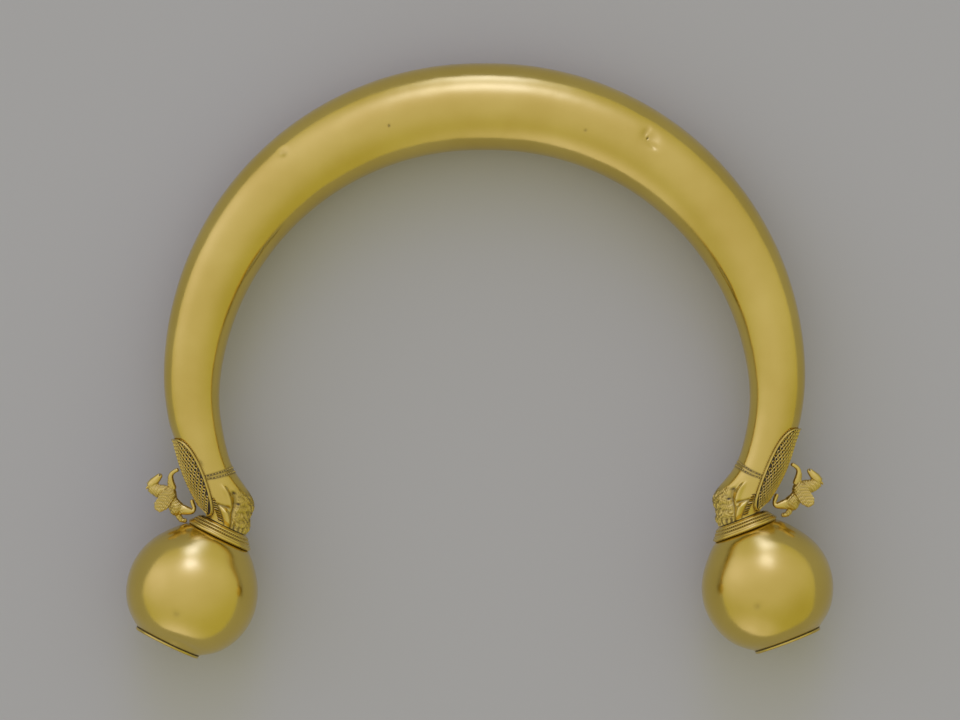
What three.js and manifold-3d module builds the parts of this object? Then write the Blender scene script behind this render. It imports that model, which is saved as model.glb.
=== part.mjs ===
import * as THREE from 'three';
import { mergeVertices } from 'three/addons/utils/BufferGeometryUtils.js';
import Module from 'manifold-3d';

// A gold neck ring: a hoop of tube, thick at the back, whose ends are lions' feet that stand on balls.
// Sizes are in millimetres and angles in degrees. The ring is laid out in the XY plane, back at +Y and
// gap at -Y. It is then tipped until both balls and the back of the hoop touch the ground.
// Plan coordinates are (outward, up), where outward is +X on the right end and -X on the left end.

// Hoop
const hoopRadius = 112.8; // centre line of the tube, at the back
const sideSwell = 1.0; // how far the centre line stands out of round, halfway down each side
const endTuck = 0.7; // how far the centre line is drawn in where a leg starts
const tuckStart = 84; // from the back to where the drawing in starts
const backThickness = 33.6;
const endThickness = 20.2;
const legStart = 93; // from the back to where the tube becomes a leg
const tubeSides = 28;
const hoopSteps = 28;

// Legs and feet
const feet = [
  { name: 'left', side: -1, turn: 115.7, inset: 1.8, lean: 26, panelTop: 0.14, hindHoof: 0.7 },
  { name: 'right', side: 1, turn: 114.8, inset: 4.1, lean: 21, panelTop: 0.07, hindHoof: 0.66 },
];
const soleRadius = 9.2;
const kneeReach = 22; // how far the hoop's direction carries on into the leg
const ankleReach = 3; // how far the ball's direction carries up into the leg
const heelRise = 5.6;
const heelPlace = 0.54; // share of the way down the leg
const heelSpread = 0.155;
const toeRise = 1.4;
const toePlace = 0.8;
const toeSpread = 0.1;
const clawStart = 0.55; // share of the way down the leg
const clawFull = 0.72;
const clawTurn = 90; // from the inner side round to the middle of a side claw
const clawGap = 12.9; // from a claw's middle to the groove beside it
const clawSpread = 7;
const clawRise = 0.35;
const grooveDepth = 0.8;
const legSteps = 14;

// Filigree panels, one on the outer side of each leg
const panelEnd = 0.975; // share of the way down the leg, at the panel's long edges
const panelArch = 0.2; // how much sooner the middle of its lower edge ends
const panelTurn = 81; // from its middle line round to its edge, where it is widest
const panelTaper = 0.4; // smaller makes the upper end blunter
const panelSkew = 0.6; // smaller moves the widest place up
const panelRunOn = 1.04; // share of the way down the leg where the leaf would come to its lower point
const panelEdge = 1.2; // thickness of the border wire
const panelField = 0.9; // thickness just inside the border
const panelDome = 1.6; // how much more it stands out in the middle
const domeFull = 0.7; // share of the way down the leg where the middle stands out fully
const borderPlace = 0.96; // share of the panel's half width
const borderSpread = 0.05;
const fieldColumns = [0.27, 0.52, 0.74, 0.91]; // shares of the half width that the mesh follows
const panelTip = 0.012; // share of its length where the upper point is closed
const panelSteps = 13;
const stepGrowth = 1.3; // more than 1 sets the steps closer together near the upper point
const legHollow = 1.0; // how far the leg is set in under its panel
const hollowFull = 0.2; // share of the way down the leg where it is set in fully

// Collars and balls
const collarHeight = 4.6;
const collarTopRadius = 9.6;
const collarFootRadius = 12.3; // the cone, where the bottom wire goes round it
const collarWire = 1.2; // thickness of the bottom wire
const wireStandOff = 0.24; // how far the wire's middle is out from the cone
const wireSteps = 3;
const collarRidges = 3;
const ridgeRise = 0.5;
const collarSides = 26;
const ballRadius = 25.6;
const neckRadius = 12.4; // where the ball meets the collar
const neckRise = 1.1; // how far the ball swells up to its neck
const neckSpread = 13;
const capPlace = 21; // from the ball's centre to the disc on its far end
const seatRadius = 13.3; // where the ball meets the disc
const seatSpread = 14;
const ballSides = 26;
const ballSteps = 12;
const capEdge = 0.9; // thickness of the disc at its rim
const capDome = 0.9; // how much higher its middle is
const capRound = 0.3; // how far its rim is rounded back
const capColumns = [0.85, 0.5, 0]; // shares of its radius that the mesh follows
const capLap = 0.2; // how far its rim stands over the ball's edge
const seam = 0.3; // space between pieces that meet

// Winged horses, one climbing each panel. Their forms are shares of their length.
const horseLength = 20;
const horseStride = 0.32; // from the fore hooves to the hind ones, as a share of the leg
const bodySides = 8;
const limbSides = 6;

// Resting places
const ballFlat = 4.6; // radius of the flat spot under each ball
const hoopFlat = 3.6; // half width of the flat spot under the back of the hoop

const gold = { color: 0xbea555, roughness: 0.32, metalness: 1 };
const darkGold = { color: 0x9a8138, roughness: 0.45, metalness: 1 };

const wasm = await Module();
wasm.setup();

const { degToRad, radToDeg, lerp, smoothstep } = THREE.MathUtils;

function bump(x, centre, spread) {
  return Math.exp(-(((x - centre) / spread) ** 2));
}

// Joins rings of points into one closed skin. Each end is closed straight across its ring.
function loft(rings) {
  const count = rings[0].length;
  const triangles = [];
  const quad = (a, b, c, d) => triangles.push(a, b, c, a, c, d);
  for (let i = 0; i < rings.length - 1; i += 1) {
    for (let j = 0; j < count; j += 1) {
      const next = (j + 1) % count;
      quad(i * count + j, i * count + next, (i + 1) * count + next, (i + 1) * count + j);
    }
  }
  const last = (rings.length - 1) * count;
  for (let j = 0; j < count / 2 - 1; j += 1) {
    const across = count - 1 - j;
    quad(j, across, across - 1, j + 1);
    quad(last + j, last + j + 1, last + across - 1, last + across);
  }
  const geometry = new THREE.BufferGeometry().setFromPoints(rings.flat());
  geometry.setIndex(triangles);
  return geometry;
}

// Merges shared corners, drops faces without area and turns the faces outwards.
function tidy(geometry) {
  const bare = new THREE.BufferGeometry();
  bare.setAttribute('position', geometry.getAttribute('position'));
  bare.setIndex(geometry.getIndex());
  const merged = mergeVertices(bare, 1e-4);
  const index = merged.getIndex().array;
  const places = merged.getAttribute('position');
  const corner = [0, 1, 2].map(() => new THREE.Vector3());
  const kept = [];
  let volume = 0;
  for (let i = 0; i < index.length; i += 3) {
    const [a, b, c] = index.slice(i, i + 3);
    if (a !== b && b !== c && c !== a) {
      kept.push(a, b, c);
      [a, b, c].forEach((vertex, k) => corner[k].fromBufferAttribute(places, vertex));
      volume += corner[0].dot(corner[1].cross(corner[2]));
    }
  }
  merged.setIndex(volume > 0 ? kept : kept.reverse());
  return merged;
}

function toSolid(geometry) {
  const tidied = tidy(geometry);
  return new wasm.Manifold(new wasm.Mesh({
    numProp: 3,
    vertProperties: new Float32Array(tidied.getAttribute('position').array),
    triVerts: new Uint32Array(tidied.getIndex().array),
  }));
}

function toGeometry(solid) {
  const mesh = solid.getMesh();
  const geometry = new THREE.BufferGeometry();
  geometry.setAttribute('position', new THREE.BufferAttribute(new Float32Array(mesh.vertProperties), 3));
  geometry.setIndex(Array.from(mesh.triVerts));
  return geometry;
}

function piece(name, geometry, finish) {
  const mesh = new THREE.Mesh(tidy(geometry), new THREE.MeshStandardMaterial(finish));
  mesh.name = name;
  return mesh;
}

// Hoop: the tube's centre line and radius at an angle from the back
function centreLine(angle) {
  const turn = Math.abs(angle);
  const drawnIn = Math.max(0, turn - tuckStart) / (legStart - tuckStart);
  const radius = hoopRadius + sideSwell * Math.sin(2 * degToRad(turn)) - endTuck * drawnIn ** 2;
  return new THREE.Vector2(Math.sin(degToRad(angle)), Math.cos(degToRad(angle))).multiplyScalar(radius);
}

function tubeRadius(angle) {
  const share = Math.cos(degToRad(90) * Math.min(1, Math.abs(angle) / legStart));
  return lerp(endThickness, backThickness, share) / 2;
}

function hoopRing(angle) {
  const centre = centreLine(angle);
  const inward = centre.clone().normalize().negate();
  const radius = tubeRadius(angle);
  return Array.from({ length: tubeSides }, (_, j) => {
    const turn = degToRad((360 * j) / tubeSides);
    const point = centre.clone().addScaledVector(inward, radius * Math.cos(turn));
    return new THREE.Vector3(point.x, point.y, radius * Math.sin(turn));
  });
}

// Leg: the path of its middle from the hoop to the sole, in plan
function legPath(foot) {
  const reach = hoopRadius - foot.inset;
  const sole = new THREE.Vector2(Math.sin(degToRad(foot.turn)), Math.cos(degToRad(foot.turn)));
  sole.multiplyScalar(reach);
  const down = new THREE.Vector2(Math.sin(degToRad(foot.lean)), -Math.cos(degToRad(foot.lean)));
  const top = centreLine(legStart);
  const aDegree = 1;
  const onward = centreLine(legStart).sub(centreLine(legStart - aDegree)).normalize();
  const knee = top.clone().addScaledVector(onward, kneeReach);
  const ankle = sole.clone().addScaledVector(down, -ankleReach);
  return new THREE.CubicBezierCurve(top, knee, ankle, sole);
}

// How far the toes and claws stand out of, or cut into, the round of the leg
function carving(share, turn) {
  const shown = smoothstep(share, clawStart, clawFull);
  const round = Math.abs(turn > 180 ? turn - 360 : turn);
  const claw = clawRise * bump(round, clawTurn, clawSpread);
  const grooves = bump(round, clawTurn - clawGap, clawSpread) + bump(round, clawTurn + clawGap, clawSpread);
  return shown * (claw - grooveDepth * grooves);
}

// A point on the leg, or above it by lift. The turn is 0 on the inner side, 90 in front, 180 outside.
function legPoint(foot, share, turn, lift = 0) {
  const centre = foot.path.getPoint(share);
  const facing = degToRad(lerp(270 - legStart, 180 + foot.lean, smoothstep(share, 0, 1)));
  const inward = new THREE.Vector2(Math.cos(facing), Math.sin(facing));
  const round = lerp(endThickness / 2, soleRadius, share);
  const heel = heelRise * bump(share, heelPlace, heelSpread);
  const toe = toeRise * bump(share, toePlace, toeSpread);
  const inner = Math.cos(degToRad(turn));
  const hollow = legHollow * smoothstep(share, 0, hollowFull);
  const across = round + (inner > 0 ? heel + toe : -hollow) + carving(share, turn) + lift;
  const deep = round + carving(share, turn) + lift;
  const point = centre.addScaledVector(inward, across * inner);
  return new THREE.Vector3(foot.side * point.x, point.y, deep * Math.sin(degToRad(turn)));
}

function legRing(foot, share) {
  return Array.from({ length: tubeSides }, (_, j) => legPoint(foot, share, (360 * j) / tubeSides));
}

function hoop() {
  const [left, right] = feet;
  const down = Array.from({ length: legSteps }, (_, i) => (i + 1) / legSteps);
  const arc = Array.from({ length: hoopSteps + 1 }, (_, i) => lerp(-legStart, legStart, i / hoopSteps));
  return loft([
    ...down.map((share) => legRing(left, share)).reverse(),
    ...arc.map(hoopRing),
    ...down.map((share) => legRing(right, share)),
  ]);
}

// Filigree panel: a leaf of wirework that stands on the leg's outer side inside a raised border
function panelThickness(share, sideways) {
  const field = panelField + panelDome * smoothstep(share, 0, domeFull) * (1 - sideways ** 2);
  const border = bump(Math.abs(sideways), borderPlace, borderSpread);
  return seam + lerp(field, panelEdge, border);
}

function panelHalfTurn(foot, share) {
  const along = (share - foot.panelTop) / (panelRunOn - foot.panelTop);
  return panelTurn * Math.sin(Math.PI * along ** panelSkew) ** panelTaper;
}

function panelPoint(foot, down, sideways, inside) {
  const lowest = panelEnd - panelArch * (1 - sideways ** 2);
  const share = lerp(foot.panelTop, lowest, down);
  const lift = inside ? seam : panelThickness(share, sideways);
  return legPoint(foot, share, 180 + sideways * panelHalfTurn(foot, share), lift);
}

function panel(foot) {
  const half = [...fieldColumns, borderPlace, 1];
  const across = [...half.map((column) => -column).reverse(), 0, ...half];
  const steps = Array.from({ length: panelSteps + 1 }, (_, i) => (i / panelSteps) ** stepGrowth);
  const rows = steps.map((step) => lerp(panelTip, 1, step));
  return loft(rows.map((down) => [
    ...across.map((sideways) => panelPoint(foot, down, sideways, false)),
    ...across.map((sideways) => panelPoint(foot, down, -sideways, true)),
  ]));
}

// Collar: a cone of round ridges over a plain wire, with its top at y = 0
function collarProfile() {
  const profile = [new THREE.Vector2(0, 0)];
  const wireRadius = collarWire / 2;
  const coneHeight = collarHeight - collarWire;
  for (let i = 0; i < collarRidges; i += 1) {
    const radiusAt = (share) => lerp(collarTopRadius, collarFootRadius, (i + share) / collarRidges);
    const heightAt = (share) => (-coneHeight * (i + share)) / collarRidges;
    profile.push(new THREE.Vector2(radiusAt(0), heightAt(0)));
    profile.push(new THREE.Vector2(radiusAt(0.5) + ridgeRise, heightAt(0.5)));
  }
  profile.push(new THREE.Vector2(collarFootRadius, -coneHeight));
  for (let i = 0; i < wireSteps; i += 1) {
    const turn = Math.PI * ((i + 0.5) / wireSteps - 0.5);
    const out = collarFootRadius + wireStandOff + wireRadius * Math.cos(turn);
    profile.push(new THREE.Vector2(out, -coneHeight - wireRadius * (1 + Math.sin(turn))));
  }
  profile.push(new THREE.Vector2(collarFootRadius, -collarHeight));
  profile.push(new THREE.Vector2(0, -collarHeight));
  return profile;
}

// Ball: round, with a swelling up to the neck and a flat seat for the disc, and its centre at y = 0
const neckHeight = Math.sqrt(ballRadius ** 2 - neckRadius ** 2) + neckRise;

function ballProfile() {
  const neckTurn = radToDeg(Math.atan2(neckRadius, neckHeight));
  const seatTurn = radToDeg(Math.atan2(seatRadius, -capPlace));
  const atNeck = Math.hypot(neckRadius, neckHeight) - ballRadius;
  const atSeat = Math.hypot(seatRadius, capPlace) - ballRadius;
  const profile = [new THREE.Vector2(0, neckHeight)];
  for (let i = 0; i <= ballSteps; i += 1) {
    const turn = lerp(neckTurn, seatTurn, i / ballSteps);
    const swell = atNeck * bump(turn, neckTurn, neckSpread) + atSeat * bump(turn, seatTurn, seatSpread);
    const reach = ballRadius + swell;
    profile.push(new THREE.Vector2(reach * Math.sin(degToRad(turn)), reach * Math.cos(degToRad(turn))));
  }
  profile.push(new THREE.Vector2(0, -capPlace));
  return profile;
}

// Disc: low and domed, with its seat at y = 0
function capProfile() {
  const rim = seatRadius + capLap;
  return [
    new THREE.Vector2(0, 0),
    new THREE.Vector2(rim - capRound, 0),
    new THREE.Vector2(rim, -capEdge / 2),
    new THREE.Vector2(rim - capRound, -capEdge),
    ...capColumns.map((share) => new THREE.Vector2(rim * share, -capEdge - capDome * (1 - share ** 2))),
  ];
}

// Horse: each limb is a row of stations [forward, up, aside, half height, half width]
const horseForms = {
  body: [
    [-0.31, 0.33, 0, 0.06, 0.05],
    [-0.26, 0.345, 0, 0.12, 0.095],
    [-0.18, 0.355, 0, 0.138, 0.115],
    [-0.09, 0.37, 0, 0.11, 0.1],
    [0, 0.38, 0, 0.09, 0.09],
    [0.09, 0.365, 0, 0.115, 0.105],
    [0.17, 0.355, 0, 0.12, 0.1],
    [0.24, 0.35, 0, 0.07, 0.06],
  ],
  neck: [
    [0.13, 0.37, 0, 0.12, 0.09],
    [0.215, 0.465, 0, 0.125, 0.085],
    [0.295, 0.565, 0, 0.108, 0.072],
    [0.385, 0.635, 0, 0.082, 0.056],
    [0.43, 0.65, 0, 0.055, 0.04],
  ],
  head: [
    [0.405, 0.68, 0, 0.04, 0.036],
    [0.43, 0.63, 0, 0.078, 0.06],
    [0.468, 0.52, 0, 0.08, 0.06],
    [0.508, 0.43, 0, 0.056, 0.042],
    [0.53, 0.37, 0, 0.046, 0.038],
    [0.54, 0.34, 0, 0.026, 0.022],
  ],
  tail: [
    [-0.29, 0.38, 0, 0.06, 0.05],
    [-0.38, 0.395, 0, 0.048, 0.042],
    [-0.45, 0.355, 0, 0.042, 0.038],
    [-0.475, 0.275, 0, 0.038, 0.036],
  ],
};
const horsePairs = {
  foreleg: [
    [0.15, 0.29, 0.045, 0.095, 0.045],
    [0.29, 0.255, 0.06, 0.058, 0.04],
    [0.42, 0.215, 0.065, 0.045, 0.036],
    [0.475, 0.16, 0.065, 0.038, 0.034],
    [0.485, 0.08, 0.065, 0.032, 0.03],
    [0.485, 0.0, 0.065, 0.038, 0.035],
  ],
  hindleg: [
    [-0.2, 0.33, 0.05, 0.11, 0.055],
    [-0.3, 0.205, 0.07, 0.072, 0.05],
    [-0.385, 0.09, 0.075, 0.048, 0.038],
    [-0.33, 0.045, 0.07, 0.036, 0.033],
    [-0.22, 0.04, 0.065, 0.032, 0.03],
    [-0.14, 0.025, 0.065, 0.036, 0.034],
  ],
  wing: [
    [0.2, 0.27, 0.08, 0.075, 0.028],
    [0.135, 0.37, 0.11, 0.12, 0.034],
    [0.045, 0.52, 0.15, 0.13, 0.03],
    [-0.02, 0.65, 0.19, 0.105, 0.024],
    [-0.045, 0.73, 0.21, 0.055, 0.016],
  ],
  ear: [
    [0.42, 0.68, 0.035, 0.026, 0.02],
    [0.44, 0.73, 0.042, 0.012, 0.01],
  ],
};

function limb(stations, side, sides) {
  return loft(stations.map(([forward, up, aside, high, wide], i) => {
    const before = stations[Math.max(0, i - 1)];
    const after = stations[Math.min(stations.length - 1, i + 1)];
    const along = new THREE.Vector2(after[0] - before[0], after[1] - before[1]).normalize();
    return Array.from({ length: sides }, (_, j) => {
      const turn = (2 * Math.PI * (j + 0.5)) / sides;
      const out = high * Math.cos(turn);
      return new THREE.Vector3(
        forward - along.y * out,
        up + along.x * out,
        side * aside + wide * Math.sin(turn),
      ).multiplyScalar(horseLength);
    });
  }));
}

function horse() {
  const single = Object.values(horseForms).map((stations) => limb(stations, 1, bodySides));
  const paired = [1, -1].flatMap((side) => Object.values(horsePairs)
    .map((stations) => limb(stations, side, limbSides)));
  const [first, ...others] = [...single, ...paired].map(toSolid);
  return toGeometry(others.reduce((joined, solid) => joined.add(solid), first));
}

// The horse stands on a line through two places on its panel's middle line.
function placeHorse(mesh, foot) {
  const onPanel = (share) => legPoint(foot, share, 180, panelThickness(share, 0) + seam);
  const hind = onPanel(foot.hindHoof);
  const forward = onPanel(foot.hindHoof - horseStride).sub(hind).normalize();
  const up = new THREE.Vector3(foot.side * forward.y, -foot.side * forward.x, 0);
  const aside = forward.clone().cross(up);
  mesh.setRotationFromMatrix(new THREE.Matrix4().makeBasis(forward, up, aside));
  const hindHoof = horsePairs.hindleg.at(-1)[0] * horseLength;
  mesh.position.copy(hind).addScaledVector(forward, -hindHoof);
}

// Everything from the sole outwards turns with the foot.
function terminal(foot) {
  const group = new THREE.Group();
  const sole = foot.path.getPoint(1);
  group.position.set(foot.side * sole.x, sole.y, 0);
  group.rotation.z = degToRad(foot.side * foot.lean);
  const collar = piece(`collar_${foot.name}`, new THREE.LatheGeometry(collarProfile(), collarSides), gold);
  collar.position.y = -seam;
  const ball = piece(`ball_${foot.name}`, new THREE.LatheGeometry(ballProfile(), ballSides), gold);
  ball.position.y = collar.position.y - collarHeight - seam - neckHeight;
  const cap = piece(`end_cap_${foot.name}`, new THREE.LatheGeometry(capProfile(), ballSides), gold);
  cap.position.y = ball.position.y - capPlace - seam;
  group.add(collar, ball, cap);
  return group;
}

const torc = new THREE.Group();
for (const foot of feet) {
  foot.path = legPath(foot);
  torc.add(terminal(foot));
  torc.add(piece(`filigree_panel_${foot.name}`, panel(foot), darkGold));
  const climber = piece(`winged_horse_${foot.name}`, horse(), gold);
  placeHorse(climber, foot);
  torc.add(climber);
}
torc.add(piece('hoop', hoop(), gold));

// Rest: the ring is tipped until the flats under the balls and under the hoop's back are level.
torc.updateMatrixWorld(true);
const balls = feet.map((foot) => torc.getObjectByName(`ball_${foot.name}`));
const ballHeight = Math.sqrt(ballRadius ** 2 - ballFlat ** 2);
const backHeight = Math.sqrt((backThickness / 2) ** 2 - hoopFlat ** 2);
const ballPlace = balls.reduce((sum, ball) => sum + ball.getWorldPosition(new THREE.Vector3()).y, 0) / 2;
const tip = Math.asin((ballHeight - backHeight) / (hoopRadius - ballPlace));
torc.rotation.x = -tip;
torc.position.z = ballHeight + ballPlace * Math.sin(tip);
torc.updateMatrixWorld(true);

// Cuts a piece off flat where it would reach below the ground.
function standOnGround(mesh) {
  const span = 4 * hoopRadius;
  const ground = new THREE.BoxGeometry(span, span, ballRadius);
  ground.translate(0, 0, -ballRadius / 2);
  ground.applyMatrix4(mesh.matrixWorld.clone().invert());
  mesh.geometry = toGeometry(toSolid(mesh.geometry).subtract(toSolid(ground)));
}
[...balls, torc.getObjectByName('hoop')].forEach(standOnGround);

// The origin is on the ground under the middle of the ring's box.
const middle = new THREE.Box3().setFromObject(torc, true).getCenter(new THREE.Vector3());
torc.position.x -= middle.x;
torc.position.y -= middle.y;

export default torc;
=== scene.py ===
import bpy
import math
import random
from mathutils import Matrix, Vector, noise


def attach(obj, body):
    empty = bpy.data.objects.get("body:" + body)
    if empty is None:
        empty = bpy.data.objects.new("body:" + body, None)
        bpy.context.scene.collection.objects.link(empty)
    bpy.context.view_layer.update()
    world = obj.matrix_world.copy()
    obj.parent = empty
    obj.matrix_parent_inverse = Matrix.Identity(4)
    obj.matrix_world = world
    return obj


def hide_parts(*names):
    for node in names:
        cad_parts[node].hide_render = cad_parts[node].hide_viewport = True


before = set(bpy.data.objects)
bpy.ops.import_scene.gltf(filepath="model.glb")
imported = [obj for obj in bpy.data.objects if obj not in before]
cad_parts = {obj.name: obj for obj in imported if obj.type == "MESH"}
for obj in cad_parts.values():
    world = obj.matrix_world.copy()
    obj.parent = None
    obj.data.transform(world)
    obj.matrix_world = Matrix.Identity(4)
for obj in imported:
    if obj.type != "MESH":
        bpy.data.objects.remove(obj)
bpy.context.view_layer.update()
dice = random.Random(7)

# How the ring lies: it is laid out flat in mm, then tipped until both balls and the back touch the floor.
lie = {"tip": 2.70426, "right": 1.8405, "forward": -14.9328, "up": 21.7317}
millimetre = 0.001
layDown = (Matrix.Diagonal((millimetre, millimetre, millimetre, 1))
           @ Matrix.Translation((lie["right"], lie["forward"], lie["up"]))
           @ Matrix.Rotation(-math.radians(lie["tip"]), 4, "X"))


def lerp(a, b, share):
    return a + (b - a) * share


def smooth(x, low, high):
    t = min(1, max(0, (x - low) / (high - low)))
    return t * t * (3 - 2 * t)


def bump(x, centre, spread):
    return math.exp(-((x - centre) / spread) ** 2)


# shared ways of working

def deselectAll():
    if bpy.context.object and bpy.context.object.mode != "OBJECT":
        bpy.ops.object.mode_set(mode="OBJECT")
    bpy.ops.object.select_all(action="DESELECT")


def editAll(obj):
    deselectAll()
    obj.select_set(True)
    bpy.context.view_layer.objects.active = obj
    bpy.ops.object.mode_set(mode="EDIT")
    bpy.ops.mesh.select_all(action="SELECT")


def closeUp(obj, gap=1e-7):
    # merges the seam, turns the faces out and goes back to object mode
    editAll(obj)
    bpy.ops.mesh.remove_doubles(threshold=gap)
    bpy.ops.mesh.normals_make_consistent(inside=False)
    bpy.ops.object.mode_set(mode="OBJECT")
    return obj


def applyModifier(obj, kind, **values):
    deselectAll()
    obj.select_set(True)
    bpy.context.view_layer.objects.active = obj
    modifier = obj.modifiers.new(kind.lower(), kind)
    for name, value in values.items():
        setattr(modifier, name, value)
    bpy.ops.object.modifier_apply(modifier=modifier.name)


def joinAll(parts, name):
    deselectAll()
    for part in parts:
        part.select_set(True)
    bpy.context.view_layer.objects.active = parts[0]
    if len(parts) > 1:
        bpy.ops.object.join()
    parts[0].name = name
    return parts[0]


def skin(name, rows, columns, pointAt):
    # a grid whose corners are carried to pointAt(u, v), u and v from 0 to 1
    deselectAll()
    bpy.ops.mesh.primitive_grid_add(x_subdivisions=rows, y_subdivisions=columns, size=1)
    obj = bpy.context.object
    obj.name = name
    for vertex in obj.data.vertices:
        vertex.co = pointAt(vertex.co.x + 0.5, vertex.co.y + 0.5)
    return obj


def turned(name, profile, steps):
    # a profile of (radius, height) spun about Y
    deselectAll()
    bpy.ops.mesh.primitive_plane_add(size=1)
    obj = bpy.context.object
    obj.name = name
    bpy.ops.object.mode_set(mode="EDIT")
    bpy.ops.mesh.merge(type="CENTER")
    bpy.ops.transform.translate(value=(profile[0][0], profile[0][1], 0))
    for before, after in zip(profile, profile[1:]):
        move = (after[0] - before[0], after[1] - before[1], 0)
        bpy.ops.mesh.extrude_vertices_move(TRANSFORM_OT_translate={"value": move})
    bpy.ops.mesh.select_all(action="SELECT")
    bpy.ops.mesh.spin(steps=steps, angle=2 * math.pi, center=(0, 0, 0), axis=(0, 1, 0))
    return closeUp(obj, 1e-4)


def strew(source, places, name):
    # one small shape copied to every place, each copy with its own mesh, then joined
    copies = []
    for place in places:
        copy = source.copy()
        copy.data = source.data.copy()
        copy.data.transform(place)
        bpy.context.scene.collection.objects.link(copy)
        copies.append(copy)
    return joinAll(copies, name)


def wireAlong(name, points, radius):
    curve = bpy.data.curves.new(name, "CURVE")
    curve.dimensions = "3D"
    curve.bevel_depth = radius
    curve.bevel_resolution = 3
    curve.use_fill_caps = True
    spline = curve.splines.new("POLY")
    spline.points.add(len(points) - 1)
    for knot, point in zip(spline.points, points):
        knot.co = (*point, 1)
    obj = bpy.data.objects.new(name, curve)
    bpy.context.scene.collection.objects.link(obj)
    deselectAll()
    obj.select_set(True)
    bpy.context.view_layer.objects.active = obj
    bpy.ops.object.convert(target="MESH")
    return bpy.context.object


def frameAt(point, normal, along, scale=1.0):
    side = normal.cross(along).normalized()
    along = side.cross(normal)
    turn = Matrix((along, side, normal)).transposed().to_4x4()
    return Matrix.Translation(point) @ turn @ Matrix.Scale(scale, 4)


def soilAndShadeEach(obj, amounts):
    # how dark each corner is painted, with old dirt and with painted shade, for the gold's nodes
    layer = obj.data.attributes.new("soilAndShade", "FLOAT", "POINT")
    layer.data.foreach_set("value", amounts)


def soilAndShade(obj, amountAt):
    soilAndShadeEach(obj, [amountAt(vertex) for vertex in obj.data.vertices])


def finish(obj, material, nodes=(), angle=50):
    deselectAll()
    obj.select_set(True)
    bpy.context.view_layer.objects.active = obj
    bpy.ops.object.shade_smooth_by_angle(angle=math.radians(angle))
    obj.data.materials.clear()
    obj.data.materials.append(material)
    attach(obj, "root")
    if nodes:
        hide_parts(*nodes)
    return obj


def toFloor(obj):
    # lays a piece made in flat mm down in the frame, and flattens what would go below the floor
    obj.data.transform(layDown)
    for vertex in obj.data.vertices:
        vertex.co.z = max(0, vertex.co.z)
    obj.data.update()
    return obj


# gold

# the darkest colour here is used both for old dirt and for painted shade in hollows, grooves and gaps
goldLook = {"pale": (0.79, 0.61, 0.15), "deep": (0.69, 0.515, 0.105), "dirtAndShade": (0.035, 0.02, 0.006),
            "roughness": 0.155, "dirtAndShadeRoughness": 0.4, "unevenDirtAndShade": (0.8, 1.25),
            "unevenPolish": (-0.04, 0.06), "hammered": 0.24}


def goldMaterial(name, roughness=goldLook["roughness"], grain=0.05, patch=30):
    material = bpy.data.materials.new(name)
    material.use_nodes = True
    nodes, links = material.node_tree.nodes, material.node_tree.links
    shader = nodes["Principled BSDF"]
    coords = nodes.new("ShaderNodeTexCoord")

    def noiseNode(scale, detail):
        made = nodes.new("ShaderNodeTexNoise")
        made.inputs["Scale"].default_value = scale
        made.inputs["Detail"].default_value = detail
        links.new(coords.outputs["Object"], made.inputs["Vector"])
        return made

    def remap(source, fromRange, toRange):
        made = nodes.new("ShaderNodeMapRange")
        for label, value in zip(("From Min", "From Max", "To Min", "To Max"), (*fromRange, *toRange)):
            made.inputs[label].default_value = value
        links.new(source, made.inputs["Value"])
        return made.outputs["Result"]

    def bumpNode(height, strength, distance):
        made = nodes.new("ShaderNodeBump")
        made.inputs["Strength"].default_value = strength
        made.inputs["Distance"].default_value = distance
        links.new(height.outputs["Fac"], made.inputs["Height"])
        return made

    # colour: broad patches of paler and deeper gold, then a dark brown for dirt and painted shade where the
    # per-corner attribute asks for it
    colour = nodes.new("ShaderNodeValToRGB")
    colour.color_ramp.elements[0].position = 0.3
    colour.color_ramp.elements[0].color = (*goldLook["deep"], 1)
    colour.color_ramp.elements[1].position = 0.72
    colour.color_ramp.elements[1].color = (*goldLook["pale"], 1)
    links.new(noiseNode(patch, 5).outputs["Fac"], colour.inputs["Fac"])
    dirtAndShade = nodes.new("ShaderNodeAttribute")
    dirtAndShade.attribute_name = "soilAndShade"
    amount = nodes.new("ShaderNodeMath")
    amount.operation = "MULTIPLY"
    amount.use_clamp = True
    links.new(dirtAndShade.outputs["Fac"], amount.inputs[0])
    links.new(remap(noiseNode(900, 3).outputs["Fac"], (0.3, 0.7), goldLook["unevenDirtAndShade"]), amount.inputs[1])
    dirtAndShadeMix = nodes.new("ShaderNodeMix")
    dirtAndShadeMix.data_type = "RGBA"
    dirtAndShadeMix.inputs["B"].default_value = (*goldLook["dirtAndShade"], 1)
    links.new(amount.outputs["Value"], dirtAndShadeMix.inputs["Factor"])
    links.new(colour.outputs["Color"], dirtAndShadeMix.inputs["A"])
    links.new(dirtAndShadeMix.outputs["Result"], shader.inputs["Base Color"])
    links.new(remap(amount.outputs["Value"], (0.35, 1), (1, 0)), shader.inputs["Metallic"])
    # polish: long soft rubs and fine specks
    rubs = noiseNode(140, 6)
    rubs.inputs["Roughness"].default_value = 0.6
    polish = [roughness + change for change in goldLook["unevenPolish"]]
    rough = nodes.new("ShaderNodeMath")
    rough.operation = "MULTIPLY_ADD"
    rough.inputs[1].default_value = goldLook["dirtAndShadeRoughness"]
    links.new(amount.outputs["Value"], rough.inputs[0])
    links.new(remap(rubs.outputs["Fac"], (0.25, 0.75), polish), rough.inputs[2])
    links.new(rough.outputs["Value"], shader.inputs["Roughness"])
    # surface: shallow hammer unevenness over a fine grain
    fine = bumpNode(noiseNode(1500, 4), grain, 0.0002)
    broad = bumpNode(noiseNode(60, 2), goldLook["hammered"], 0.001)
    links.new(fine.outputs["Normal"], broad.inputs["Normal"])
    links.new(broad.outputs["Normal"], shader.inputs["Normal"])
    return material


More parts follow.
